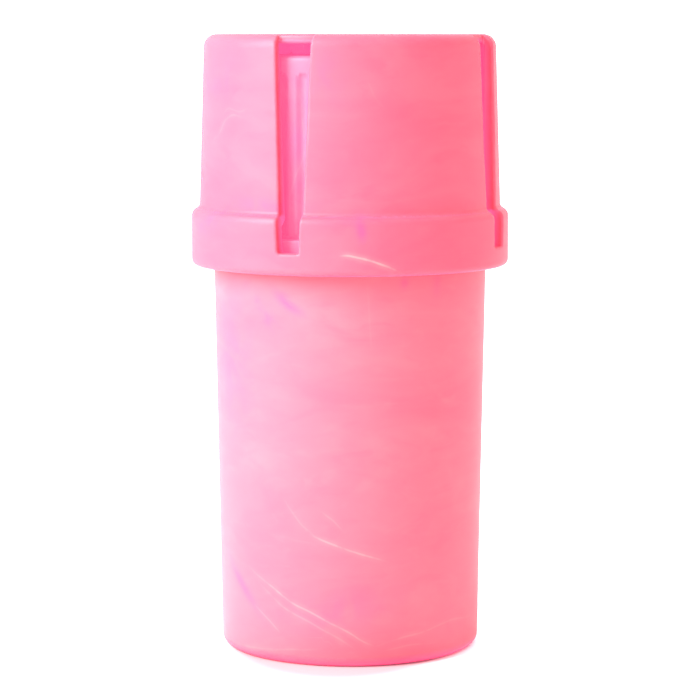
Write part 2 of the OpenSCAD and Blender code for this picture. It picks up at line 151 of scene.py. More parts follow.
def net(values, start, step):
    """Vertices and quads of the surface through a grid of field values."""
    inside = values < 0
    n = np.array(values.shape) - 1
    offsets = [(i, j, k) for i in (0, 1) for j in (0, 1) for k in (0, 1)]
    count = sum(inside[i:n[0] + i, j:n[1] + j, k:n[2] + k].astype(np.uint8) for i, j, k in offsets)
    cells = np.argwhere((count > 0) & (count < 8))
    number = np.full(n, -1, np.int64)
    number[tuple(cells.T)] = np.arange(len(cells))
    total, hits = np.zeros((len(cells), 3)), np.zeros(len(cells))
    for a in offsets:
        for axis in range(3):
            if a[axis]:
                continue
            b = tuple(v + (k == axis) for k, v in enumerate(a))
            va = values[tuple((cells + a).T)]
            vb = values[tuple((cells + b).T)]
            cross = (va < 0) != (vb < 0)
            t = np.where(cross, va / np.where(cross, va - vb, 1), 0)
            spot = cells + np.array(a, float)
            spot[:, axis] += t
            total += spot * cross[:, None]
            hits += cross
    vertices = start + total / hits[:, None] * step
    quads = []
    for axis in range(3):
        u, v = (axis + 1) % 3, (axis + 2) % 3
        first = np.moveaxis(inside, axis, 0)
        changes = np.moveaxis(first[1:] != first[:-1], 0, axis)
        at = np.argwhere(changes)
        at = at[(at[:, u] > 0) & (at[:, v] > 0) & (at[:, u] < n[u]) & (at[:, v] < n[v])]
        ring = []
        for du, dv in ((-1, -1), (0, -1), (0, 0), (-1, 0)):
            cell = at.copy()
            cell[:, u] += du
            cell[:, v] += dv
            ring.append(number[tuple(cell.T)])
        quad = np.stack(ring, 1)
        leaves = inside[tuple(at.T)]
        quad[~leaves] = quad[~leaves][:, ::-1]
        quads.append(quad)
    return vertices, np.concatenate(quads)


def relax(field, vertices, quads, rounds):
    """Evens out the quads and puts every vertex exactly on the surface."""
    a = quads.ravel()
    b = np.roll(quads, -1, axis=1).ravel()
    degree = np.bincount(a, minlength=len(vertices)) + np.bincount(b, minlength=len(vertices))
    for turn in range(rounds + 1):
        if turn:
            mean = np.stack([
                np.bincount(a, vertices[b, k], len(vertices)) + np.bincount(b, vertices[a, k], len(vertices))
                for k in range(3)], 1) / degree[:, None]
            vertices = vertices + 0.5 * (mean - vertices)
        for _ in range(2):
            vertices = vertices - slope(field, vertices) * field(vertices)[:, None]
    return vertices


def mesh_object(name, vertices, quads, normals=None):
    """A smooth-shaded object from arrays of vertices and quads."""
    mesh = bpy.data.meshes.new(name)
    mesh.vertices.add(len(vertices))
    mesh.vertices.foreach_set("co", vertices.astype(np.float32).ravel())
    mesh.loops.add(quads.size)
    mesh.loops.foreach_set("vertex_index", quads.astype(np.int32).ravel())
    mesh.polygons.add(len(quads))
    mesh.polygons.foreach_set("loop_start", np.arange(len(quads), dtype=np.int32) * 4)
    mesh.update(calc_edges=True)
    mesh.validate()
    mesh.polygons.foreach_set("use_smooth", np.ones(len(mesh.polygons), bool))
    if normals is not None:
        mesh.normals_split_custom_set_from_vertices(normals.astype(np.float32))
    obj = bpy.data.objects.new(name, mesh)
    bpy.context.scene.collection.objects.link(obj)
    return obj


def skin(name, field, node, step, rounds=3):
    """The moulded skin of a field in millimetres, in the space that a node of the frame takes."""
    lo, hi = (np.array(c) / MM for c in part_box(node))
    start = lo - 2.37 * step
    blocks = np.ceil((hi + 2 * step - start) / (BLOCK * step)).astype(int)
    vertices, quads = net(sample(field, start, step, blocks), start, step)
    vertices = relax(field, vertices, quads, rounds)
    obj = mesh_object(name, vertices * MM, quads, slope(field, vertices))
    off = max(abs(vertices.min(0) - lo).max(), abs(vertices.max(0) - hi).max())
    print(f"{name}: {len(quads)} quads, box within {off:.3f} mm of the frame's")
    return obj


# %% [markdown]
# The outer cap is what the eye meets first: a drafted round wall with a softly rounded top
# edge, standing on a plain skirt. Four slots run from the skirt up through the top edge, and
# each widens a little as it rises. A boss with a six-sided bore and twelve lugs hang inside.
# From here on, the sizes in the fields are millimetres.

# %% Outer cap
CAP_TOP, CAP_CEILING, SKIRT_TOP, SKIRT_FOOT = 99.5, 98.1, 71.6, 62.35
SKIRT_R, BAND_R, WALL_TOP_R, UPPER_BORE_R = 25.7, 24.4, 23.6, 21.9
SNAP_ROOM_R, SNAP_ROOM_TOP, MOUTH_R = 23.3, 69.7, 22.4
SLOTS, SLOT_FIRST, SLOT_FOOT, SLOT_WIDTH, SLOT_FLARE = 4, math.radians(-112.2), 65.85, 3.44, 0.0712
LUGS, LUG_REACH, LUG_HEIGHT = 12, (11.5, 16.5), (96.35, 98.5)
BOSS_R, BOSS_FOOT, KEYHOLE_HALF = 5.3, 92.7, 3.05


def outer_cap(p):
    r, a, z = around(p)
    wall = edge(slanted(r, z, (BAND_R, SKIRT_TOP), (WALL_TOP_R, 97.5)), z - CAP_TOP, 2.0)
    wall = np.maximum(wall, 67 - z)
    skirt = edge(edge(r - SKIRT_R, z - SKIRT_TOP, 1.3), SKIRT_FOOT - z, 1.0)
    body = weld(wall, skirt, 0.6)
    upper = np.maximum(edge(r - UPPER_BORE_R, z - CAP_CEILING, 0.3), 70.6 - z)
    step = slanted(r, z, (SNAP_ROOM_R, SNAP_ROOM_TOP), (UPPER_BORE_R, 70.7))
    room = np.maximum(np.maximum(r - SNAP_ROOM_R, 64.9 - z), step)
    mouth = np.maximum(r - MOUTH_R, z - 65.3)
    body = carve(body, np.minimum(np.minimum(upper, room), mouth), 0.25)
    x, y = repeated(r, a, LUGS)
    lug = wedge(x, y, z, LUG_REACH, LUG_HEIGHT, 2.4, 3.0)
    boss = np.maximum(edge(r - BOSS_R, BOSS_FOOT - z, 0.25), z - 98.8)
    body = weld(body, np.minimum(lug, boss), 0.2)
    x, y = repeated(r, a, 6, math.radians(30))
    body = carve(body, np.maximum(x - KEYHOLE_HALF, z - CAP_CEILING), 0.12)
    x, y = repeated(r, a, SLOTS, SLOT_FIRST)
    half = (SLOT_WIDTH + SLOT_FLARE * (z - SLOT_FOOT)) / 2
    slot = np.maximum(edge(np.abs(y) - half, SLOT_FOOT - z, 0.3), 21.8 - r)
    return carve(body, slot, 0.42)


outer_cap_skin = skin("Outer_cap", outer_cap, "outer_cap", 0.425)

# %% [markdown]
# The inner cap shows through the slots. Its wall has 36 shallow flutes with arched tops, cut
# here by a ring of round-ended rods, and a flange that the outer cap snaps under. Inside are
# the thread, a tube that presses on the gasket, the shaft's bearing and the well of the
# spring. A thread ridge is a trapezium that follows the height of its helix round the axis
# and sinks into the wall at both ends.

# %% Inner cap
INNER_TOP, INNER_FOOT, INNER_CEILING, FLANGE_TOP = 96.2, 65.0, 93.6, 67.8
INNER_R, FLANGE_R, INNER_BORE_R = 21.3, 23.0, 19.6
FLUTES, FLUTE_ROD_R, FLUTE_ROD_AT, FLUTE_FOOT, FLUTE_ARCH = 36, 1.3, 22.15, 68.3, 92.62
THREAD_STARTS = 3


def thread(r, a, z, z0, root, crest, sweep=220.0, lead=9.0):
    """Ridges that start evenly round the axis, each rising by lead in a whole turn."""
    total = np.full(len(r), 1e3)
    way = math.copysign(1, crest - root)
    for k in range(THREAD_STARTS):
        turn = np.mod(np.degrees(a) - 360 / THREAD_STARTS * k, 360)
        full = np.clip(np.minimum(turn, sweep - turn) / 14, -1, 1)
        height = z0 + lead * turn / 360
        top = root + (crest - root) * full
        out = (r - root) * way
        flank = (np.abs(z - height) - (0.75 - 0.35 * out / 0.9)) * 0.93
        total = np.minimum(total, np.maximum(flank, (r - top) * way))
    return np.maximum(total, -(r - root) * way - 0.4)


def inner_cap(p):
    r, a, z = around(p)
    body = np.maximum(edge(r - INNER_R, z - INNER_TOP, 0.8), INNER_FOOT - z)
    flange = edge(edge(r - FLANGE_R, z - FLANGE_TOP, 0.3), INNER_FOOT - z, 0.3)
    body = np.maximum(weld(body, flange, 0.2), INNER_FOOT - z)
    x, y = repeated(r, a, FLUTES)
    rod = np.sqrt((x - FLUTE_ROD_AT) ** 2 + y ** 2 + np.maximum(z - FLUTE_ARCH, 0) ** 2) - FLUTE_ROD_R
    body = carve(body, np.maximum(rod, FLUTE_FOOT - z), 0.12)
    body = carve(body, edge(r - INNER_BORE_R, z - INNER_CEILING, 0.4), 0.25)
    tube = np.maximum(edge(between(r, 16.8, 18.2), 81.7 - z, 0.2), z - 94)
    well = np.maximum(edge(r - 8.9, 87.8 - z, 0.2), z - 94)
    bearing = np.maximum(edge(r - 6.2, 84.3 - z, 0.2), z - 89)
    inside = np.minimum(np.minimum(tube, well), bearing)
    body = weld(body, inside, 0.3)
    body = weld(body, thread(r, a, z, 66.5, INNER_BORE_R, 18.7), 0.12)
    body = carve(body, edge(r - 7.4, 89.8 - z, 0.1), 0.25)
    body = carve(body, r - 4.05, 0.12)
    x, y = repeated(r, a, LUGS)
    pocket = wedge(x, y, z, (11.0, 17.0), (94.4, 97.2), 3.0, 3.93)
    return carve(body, pocket, 0.15)


inner_cap_skin = skin("Inner_cap", inner_cap, "inner_cap", 0.435)

# %% [markdown]
# The vial is a drafted tube, two millimetres narrower at its foot than at its shoulder, so that
# it slips off its mould. The foot is rounded, with a shallow hollow under the floor that leaves a
# ring to stand on. The threaded neck hides under the caps.

# %% Vial
SHOULDER, NECK_TOP, FOOT_ROUND = 64.6, 80.8, 1.6
FOOT_R, SHOULDER_R, NECK_R, THROAT_R, SEAT_R, SEAT_FLOOR = 21.0, 22.1, 18.4, 15.8, 16.6, 73.8


def vial(p):
    r, a, z = around(p)
    side = slanted(r, z, (FOOT_R, FOOT_ROUND), (SHOULDER_R, 63.8))
    body = edge(edge(side, z - SHOULDER, 0.8), -z, FOOT_ROUND)
    neck = np.maximum(edge(r - NECK_R, z - NECK_TOP, 0.3), 60 - z)
    body = weld(body, neck, 0.3)
    body = weld(body, thread(r, a, z, 68.0, NECK_R, 19.3), 0.12)
    hollow = np.maximum(z - 1.2, slanted(r, z, (17.9, 0), (16.7, 1.2)))
    body = carve(body, hollow, 0.3)
    chamber = edge(edge(slanted(r, z, (19.2, 6.2), (20.3, 59.8)), z - 62.8, 3.0), 3.2 - z, 3.0)
    funnel = np.maximum(slanted(r, z, (17.1, 62.8), (THROAT_R, 64.1)), z - 64.3)
    throat = np.maximum(weld(r - THROAT_R, funnel, 0.1), 60 - z)
    seat = np.maximum(r - SEAT_R, SEAT_FLOOR - z)
    room = weld(weld(chamber, throat, 0.3), seat, 0.05)
    return carve(body, room, 0.3)


vial_skin = skin("Vial", vial, "vial", 0.55)

# %% [markdown]
# The two breakers do the crushing. Each is a plate with rows of teeth, and the rows of one
# pass between the rows of the other. The upper one turns with the outer cap, and its plate is
# also a sieve: three rings of holes let the powder and crumbs fall into the cap.

# %% Breakers
RING_R, RING_TOP, RING_PLATE_TOP = 16.58, 80.3, 75.8
SIEVE_R, SIEVE_PLATE, SIEVE_HUB = 15.8, (80.8, 82.8), (78.2, 84.1)
SIEVE_HOLES = ((6.795, 8, 1.0), (11.175, 15, 0.9), (14.625, 24, 0.75))


def teeth(r, a, z, row_r, count, root_z, tip_z, reach=0.0):
    """One row of wedges between a plate and their tips."""
    x, y = repeated(r, a, count)
    low, high = sorted((root_z, tip_z))
    ends = (2.6, 0.8) if root_z < tip_z else (0.8, 2.6)
    return wedge(x, y, z, (row_r - 0.55, row_r + 0.55 + reach), (low, high), *ends)


def lower_breaker(p):
    r, a, z = around(p)
    plate = np.maximum(between(r, 10.5, RING_R), between(z, SEAT_FLOOR, RING_PLATE_TOP))
    ring = edge(between(r, 15.2, RING_R), between(z, SEAT_FLOOR, RING_TOP), 0.2)
    rows = np.minimum(teeth(r, a, z, 11.3, 10, 75.4, 79.9), teeth(r, a, z, 14.5, 14, 75.4, 79.9, 0.4))
    body = weld(weld(plate, ring, 0.2), rows, 0.15)
    return np.maximum(body, np.maximum(r - RING_R, SEAT_FLOOR - z))


def upper_breaker(p):
    r, a, z = around(p)
    plate = edge(r - SIEVE_R, between(z, *SIEVE_PLATE), 0.25)
    hub = edge(r - 4.69, between(z, *SIEVE_HUB), 0.2)
    rows = np.minimum(teeth(r, a, z, 9.45, 6, 81.2, 75.0), teeth(r, a, z, 12.9, 9, 81.2, 76.7))
    body = weld(weld(plate, hub, 0.2), rows, 0.15)
    for row_r, count, hole in SIEVE_HOLES:
        x, y = repeated(r, a, count)
        body = carve(body, np.maximum(np.hypot(x - row_r, y) - hole, 80 - z), 0.12)
    square = np.maximum(np.abs(p[:, 0]), np.abs(p[:, 1])) - 2.55
    body = carve(body, np.maximum(square, 81.2 - z), 0.1)
    body = carve(body, r - 1.65, 0.1)
    return carve(body, np.maximum(r - 3.2, z - 80.2), 0.1)


lower_breaker_skin = skin("Lower_breaker", lower_breaker, "lower_breaker", 0.3)
upper_breaker_skin = skin("Upper_breaker", upper_breaker, "upper_breaker", 0.3)

# %% [markdown]
# The shaft is a hexagon above a collar, a round journal with a groove, and a square tang at
# the bottom. The screw clamps the upper breaker to it; its head has a cross slot, and its
# shank a fine thread.

# %% Shaft and screw
def drive_shaft(p):
    r, a, z = around(p)
    x, y = repeated(r, a, 6, math.radians(30))
    key = edge(x - 3.0, between(z, 90.3, 96.3), 0.3)
    collar = edge(r - 5.2, between(z, 89.85, 90.8), 0.12)
    journal = np.maximum(r - 4.0, between(z, 84.1, 90.3))
    journal = carve(journal, np.maximum(3.0 - r, between(z, 86.4, 87.7)), 0.08)
    square = np.maximum(np.abs(p[:, 0]), np.abs(p[:, 1])) - 2.503
    tang = edge(square, between(z, 81.25, 84.8), 0.15)
    body = np.minimum(np.minimum(key, collar), np.minimum(journal, tang))
    return carve(body, np.maximum(r - 1.52, z - 87.7), 0.1)


def breaker_screw(p):
    r, a, z = around(p)
    head = edge(r - 2.8, between(z, 78.4, 80.2), 0.35)
    pitch = np.mod(z - a / math.tau, 1.0) - 0.5
    groove = np.maximum(0, 0.16 - np.abs(pitch) * 0.9) * (z > 81.0)
    shank = edge((r - 1.5 + groove) * 0.75, between(z, 79.8, 87.2), 0.2)
    body = weld(head, shank, 0.1)
    bars = [np.maximum(np.abs(p[:, k]) - 1.6, np.abs(p[:, 1 - k]) - 0.4) for k in (0, 1)]
    return carve(body, np.maximum(np.minimum(*bars), z - 79.4), 0.06)


drive_shaft_skin = skin("Drive_shaft", drive_shaft, "drive_shaft", 0.2)
screw_skin = skin("Breaker_screw", breaker_screw, "breaker_screw", 0.12)

# %% [markdown]
# Plain rings need no field. The gasket, the O-ring and the spring's washer are turned: a half
# profile is swept round the axis, and its corners are cut short first so that they catch the
# light. The spring is a round section swept along a helix whose end turns lie close.

# %% Rings and spring
def rounded(profile, radius, steps=4):
    """A closed profile with every corner replaced by a short arc."""
    points = []
    for i, corner in enumerate(np.array(profile, float)):
        before, after = np.array(profile[i - 1]), np.array(profile[(i + 1) % len(profile)])
        u = (before - corner) / np.linalg.norm(before - corner)
        v = (after - corner) / np.linalg.norm(after - corner)
        for t in np.linspace(0, 1, steps):
            points.append(corner + radius * ((1 - t) ** 2 * u + t ** 2 * v))
    return points


def tube_mesh(name, rings, closed):
    """An object from rings of points, joined one to the next."""
    rings = np.array(rings)
    count, sides = rings.shape[:2]
    ring = np.arange(count if closed else count - 1)
    quads = []
    for k in range(sides):
        a, b = ring * sides + k, ring * sides + (k + 1) % sides
        c, d = (ring + 1) % count * sides + (k + 1) % sides, (ring + 1) % count * sides + k
        quads.append(np.stack([a, b, c, d], 1))
    return mesh_object(name, rings.reshape(-1, 3) * MM, np.concatenate(quads))


def turned(name, profile, count=128):
    """A ring from a half profile given anticlockwise as (radius, height)."""
    angles = np.arange(count) * math.tau / count
    rings = [[(r * math.cos(a), r * math.sin(a), z) for r, z in profile[::-1]] for a in angles]
    obj = tube_mesh(name, rings, True)
    print(f"{name}: {len(obj.data.polygons)} quads")
    return obj


gasket = turned("Rim_gasket", rounded(
    [(16.7, 80.8), (19.0, 80.8), (19.0, 83.2), (18.25, 83.2), (18.25, 81.7), (16.7, 81.7)], 0.15))
washer = turned("Spring_washer", rounded([(5.4, 89.8), (7.2, 89.8), (7.2, 90.2), (5.4, 90.2)], 0.08))
o_ring = turned("Shaft_O-ring", [(3.52 + 0.5 * math.cos(t), 87.05 + 0.5 * math.sin(t))
                                 for t in np.linspace(0, math.tau, 17)[:-1]])


COILS, COIL_R, WIRE_R = 5, 6.1, 0.4


def spring_height(turns, low=90.6, high=97.65, close=0.9, closed_lead=0.848):
    """Height of the wire's centre: close turns at both ends, open ones between them."""
    inner = np.clip(turns, close, COILS - close)
    ends = np.minimum(turns, close) + np.maximum(turns - (COILS - close), 0)
    open_rise = (high - low) - 2 * close * closed_lead
    return low + closed_lead * ends + open_rise * (inner - close) / (COILS - 2 * close)


wire = []
wire_angles = np.linspace(math.tau, 0, 13)[:-1]
for t in np.linspace(0, COILS, 241):
    a, z = t * math.tau, float(spring_height(t))
    section = [(COIL_R + WIRE_R * math.cos(b), z + WIRE_R * math.sin(b)) for b in wire_angles]
    wire.append([(out * math.cos(a), out * math.sin(a), height) for out, height in section])
spring = tube_mesh("Return_spring", wire, False)
spring_foot, spring_top = min(p[2] for p in wire[0]), max(p[2] for p in wire[-1])
print(f"spring: {len(spring.data.polygons)} quads, {spring_foot:.2f} to {spring_top:.2f} mm")

# %% [markdown]
# Each skin now takes the place of its solid: it rides on the body that moves it, and the
# solid it replaces is hidden. The table also lists the finish it is painted with. The spring
# rides on the inner cap and is given a mesh of its own.

# %% Joining the frame
parts = {
    "outer_cap": (outer_cap_skin, "outer_cap", "marbled_plastic"),
    "inner_cap": (inner_cap_skin, "inner_cap", "marbled_plastic"),
    "vial": (vial_skin, "vial", "marbled_plastic"),
    "lower_breaker": (lower_breaker_skin, "vial", "acetal"),
    "upper_breaker": (upper_breaker_skin, "rotor", "acetal"),
    "drive_shaft": (drive_shaft_skin, "rotor", "acetal"),
    "breaker_screw": (screw_skin, "rotor", "spring_steel"),
    "shaft_o_ring": (o_ring, "rotor", "nitrile"),
    "rim_gasket": (gasket, "seal", "silicone"),
    "spring_washer": (washer, "inner_cap", "spring_steel"),
    "return_spring": (spring, "inner_cap", "spring_steel"),
}
for node, (piece, body, finish) in parts.items():
    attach(piece, body)
    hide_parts(node)
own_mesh(spring)
print(f"{len(parts)} pieces stand for {len(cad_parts)} solids")

# %% [markdown]
# The plastic is marbled: two batches of pigment were only half mixed when it was moulded, so
# it has broad soft clouds, a few smudges of lilac and thin cream veins drawn out by the flow.
# The clouds come from noise. The veins that catch the eye are drawn as strokes on the wall,
# each a run of (degrees round, height in mm) points. Every vertex stores its signed distance
# to the nearest stroke, and the material draws a line where that distance is near zero, so a
# vein stays thinner than the mesh. Neighbouring strokes are stored in two layers by turns, so
# that two close veins don't pull at each other.
#
# Thin plastic also lets light through, which ray tracing would need a long time to work out.
# Instead each vertex stores how far it lies behind the outer wall, and the material turns that
# into a faint glow: painted light that keeps the slots pink and warm inside. The rim of the
# skirt and the turn of the foot get a little of it too, as a painted highlight on the rim and
# painted light that lifts the shade at the foot.

# %% Strokes
VEIN_LAYERS, FAR = 2, 9.0


def stroke_path(points, count=60):
    """A smooth path through a few points."""
    points = np.array(points, float)
    t = np.linspace(0, len(points) - 1, count)
    rough = np.stack([np.interp(t, np.arange(len(points)), points[:, k]) for k in (0, 1)], 1)
    for _ in range(12):
        rough[1:-1] = (rough[:-2] + 2 * rough[1:-1] + rough[2:]) / 4
    return rough


def paint(obj, through, veins=(), smudges=()):
    """Stores the distance to the nearest vein, its strength, the lilac, and the painted light through the
    wall.
    """
    flat = np.empty(len(obj.data.vertices) * 3)
    obj.data.vertices.foreach_get("co", flat)
    p = flat.reshape(-1, 3) / MM
    turn, r = np.degrees(np.arctan2(p[:, 1], p[:, 0])), np.hypot(p[:, 0], p[:, 1])
    best, offset = np.full((2, VEIN_LAYERS, len(p)), FAR)
    strength = np.zeros((VEIN_LAYERS, len(p)))
    for number, (power, points) in enumerate(veins):
        path = stroke_path(points)
        step = np.gradient(path, axis=0)
        middle = path.mean(0)
        here = np.abs((turn - middle[0] + 180) % 360 - 180) < 90
        index = np.flatnonzero(here & (np.abs(p[:, 2] - middle[1]) < 40))
        u = ((turn[index, None] - path[None, :, 0] + 180) % 360 - 180) * math.radians(1) * r[index, None]
        v = p[index, 2][:, None] - path[None, :, 1]
        k = np.argmin(u * u + v * v, 1)
        rows = np.arange(len(index))
        su, sv = step[k, 0] * math.radians(1) * r[index], step[k, 1]
        side = (u[rows, k] * sv - v[rows, k] * su) / np.maximum(np.hypot(su, sv), 1e-6)
        away = np.hypot(u[rows, k], v[rows, k])
        fade = np.clip(np.minimum(k, len(path) - 1 - k) / 14, 0, 1) * power
        layer = number % VEIN_LAYERS
        nearer = away < best[layer, index]
        chosen = index[nearer]
        best[layer, chosen], offset[layer, chosen] = away[nearer], side[nearer]
        strength[layer, chosen] = (fade * np.clip(2.2 - away, 0, 1))[nearer]
    lilac = np.zeros(len(p))
    for power, degrees, height, across, tall, lean in smudges:
        u = ((turn - degrees + 180) % 360 - 180) * math.radians(1) * r
        v = p[:, 2] - height
        u, v = u * math.cos(lean) + v * math.sin(lean), v * math.cos(lean) - u * math.sin(lean)
        lilac = lilac + power * np.exp(-(u / across) ** 2 - (v / tall) ** 2)
    layers = {"lilac": lilac, "through": through(r, p[:, 2])}
    for layer in range(VEIN_LAYERS):
        layers[f"vein_{layer}"], layers[f"strength_{layer}"] = offset[layer], strength[layer]
    for name, values in layers.items():
        made = obj.data.attributes.new(name, "FLOAT", "POINT")
        made.data.foreach_set("value", values.astype(np.float32))
    print(f"{obj.name}: {len(veins)} veins, {len(smudges)} smudges")


def under_wall(heights, wall_radii, amount):
    """A rule for surfaces that lie behind a wall: how much painted light they get, standing in for light
    through it.
    """
    def rule(r, z):
        return amount * np.clip((np.interp(z, heights, wall_radii) - r) / 2 - 0.2, 0, 1)
    return rule


# A vein is (strength, points); a smudge is (strength, degrees, height, half width, half height, lean).
inside = under_wall([0, FOOT_ROUND, SHOULDER, 64.7, 81], [19.4, FOOT_R, SHOULDER_R, NECK_R, NECK_R], 0.5)
# The vial's glow is painted light: on surfaces behind its wall, and on the turn of the foot, where it lifts
# the shade.
paint(vial_skin, lambda r, z: np.maximum(inside(r, z), 0.6 * np.clip((1.7 - z) / 1.2, 0, 1)), veins=[
    (0.85, [(-108, 21.4), (-101, 20.2), (-91, 19.0), (-81, 17.7), (-73, 16.7)]),
    (0.35, [(-103, 25.3), (-97, 23.6), (-93, 21.9)]),
    (0.3, [(-120, 27.0), (-111, 22.8), (-105, 21.0)]),
    (0.8, [(-140, 15.0), (-128, 12.6), (-118, 10.5), (-106, 8.4), (-94, 6.4), (-84, 4.2), (-79, 3.5)]),
    (0.45, [(-134, 12.8), (-121, 9.4), (-108, 7.2), (-96, 5.0), (-88, 3.0)]),
    (0.4, [(-137, 9.3), (-127, 6.8), (-121, 5.0)]),
    (0.35, [(-80, 3.4), (-68, 4.4), (-56, 5.2), (-38, 6.2), (-18, 5.6)]),
    (0.25, [(-76, 2.6), (-62, 3.2), (-48, 3.0)]),
    (0.35, [(-152, 1.5), (-134, 2.0), (-117, 2.6), (-101, 3.0)]),
    (0.14, [(-83, 61.5), (-82, 54.0), (-81, 50.0)]),
    (0.5, [(40, 50.0), (60, 44.0), (85, 41.0), (104, 33.0)]),
    (0.45, [(120, 22.0), (135, 14.0), (160, 10.0), (178, 12.5)]),
    (0.4, [(0, 30.0), (12, 21.0), (20, 9.0)]),
], smudges=[
    (0.8, -130.5, 57.4, 3.6, 1.0, -0.9), (0.75, -116.0, 57.8, 2.6, 0.9, -0.6),
    (0.5, -67.3, 61.0, 0.7, 0.8, 0), (0.3, -52.0, 60.5, 0.8, 1.8, 0),
    (0.55, -145.0, 11.8, 5.0, 0.8, -0.75), (0.3, -150, 48.0, 5, 10, 0),
    (0.25, -95, 9.0, 9.0, 3.0, 0.2), (0.5, 60, 30.0, 8.0, 4.0, 0.6),
    (0.5, 150, 46.0, 6.0, 9.0, -0.3), (0.4, 10, 55.0, 7.0, 3.0, 0.2)])
behind = under_wall([62.3, SKIRT_TOP, 71.7, 97.5, 98.9, 99.0],
                    [SKIRT_R, SKIRT_R, BAND_R, WALL_TOP_R, 22.8, 0], 1.0)
# The outer cap's glow is painted light: on surfaces behind its wall, and a painted highlight along the
# skirt's rim.
paint(outer_cap_skin, lambda r, z: behind(r, z) + 0.3 * np.clip((62.9 - z) / 0.4, 0, 1), veins=[
    (1.3, [(-94, 65.5), (-91, 65.6), (-88, 65.3), (-82, 64.7), (-76, 63.9), (-71, 62.9)]),
    (0.4, [(-155, 82.5), (-149, 83.6), (-145, 86.0), (-140, 87.0), (-134, 86.6)]),
    (0.2, [(-148, 86.6), (-143, 88.0), (-136, 87.4), (-131, 88.2)]),
    (0.16, [(-84, 92.5), (-81, 90.0), (-77, 88.0)]),
    (0.5, [(20, 66.8), (45, 68.8), (62, 66.8)]),
    (0.45, [(70, 78.8), (84, 86.8), (104, 90.8)]),
    (0.45, [(150, 88.8), (165, 80.8), (172, 73.8)]),
], smudges=[
    (0.7, -86.0, 69.4, 0.8, 1.9, 0.3), (0.3, -90.0, 71.5, 3.5, 1.0, 0.1),
    (0.5, -150, 70.0, 4.0, 1.5, 0.2), (0.3, -152, 92.0, 5.0, 3.0, 0.4),
    (0.2, -99, 93.0, 2.5, 4.0, 0.3), (0.35, -125, 73.0, 8.0, 1.2, 0),
    (0.5, 40, 88.8, 6.0, 4.0, 0.5), (0.5, 130, 76.8, 5.0, 6.0, -0.5)])
# The inner cap lies wholly behind the outer cap's wall, so all of it gets the painted light.
paint(inner_cap_skin, under_wall([0, 120], [30, 30], 0.7),
      veins=[(0.3, [(-118, 72.8), (-110, 80.8), (-112, 92.8)])],
      smudges=[(0.3, -112, 84.8, 3.0, 6.0, 0), (0.5, 60, 80.8, 6.0, 8.0, 0.4)])

# %% [markdown]
# The material adds the noise. Clouds shift the pink a little towards peach or towards rose,
# the veins are wobbled and broken up a little so that no two look ruled, and a very fine bump
# breaks up the gloss like a spark-eroded mould does. The plastic lets a little light in, so
# its shadows stay warm. The studio further on is very bright and washes colours out, so the
# pink is mixed deeper here than it looks there.

# %% Marbled plastic
LILAC, CREAM = (0.93, 0.036, 0.125, 1), (0.95, 0.36, 0.30, 1)
# PAINTED_LIGHT_GLOW is the colour of the painted light in the slots, on the skirt's rim and at the foot.
PAINTED_LIGHT_GLOW = (0.8, 0.105, 0.31, 1)
BASE_PINK, PEACH_PINK, ROSE_PINK = (0.080, 0.120), (0.095, 0.130), (0.068, 0.112)
VEIN_WIDTH, HALO_WIDTH, WOBBLE = 0.32, 1.0, 0.9


def nodes_of(name):
    """A new material with its shader, and short ways to add and join nodes."""
    material = bpy.data.materials.new(name)
    material.use_nodes = True
    tree = material.node_tree
    shader = tree.nodes["Principled BSDF"]

    def add(kind, **inputs):
        made = tree.nodes.new(kind)
        for key, value in inputs.items():
            socket = made.inputs[int(key[1:])] if key[0] == "i" and key[1:].isdigit() else made.inputs[key]
            if isinstance(value, bpy.types.NodeSocket):
                tree.links.new(value, socket)
            else:
                socket.default_value = value
        return made

    def maths(kind, *values, clamp=False):
        made = add("ShaderNodeMath", **{f"i{n}": v for n, v in enumerate(values)})
        made.operation = kind
        made.use_clamp = clamp
        return made.outputs[0]

    def ramp(value, low, high):
        """0 below low, 1 above high, smooth between."""
        made = add("ShaderNodeMapRange", i0=value, i1=low, i2=high)
        made.interpolation_type = "SMOOTHSTEP"
        return made.outputs[0]

    def mix(amount, a, b):
        made = tree.nodes.new("ShaderNodeMix")
        made.data_type = "RGBA"
        for socket, value in zip((made.inputs[0], made.inputs[6], made.inputs[7]), (amount, a, b)):
            if isinstance(value, bpy.types.NodeSocket):
                tree.links.new(value, socket)
            else:
                socket.default_value = value
        return made.outputs[2]

    return material, tree, shader, add, maths, ramp, mix


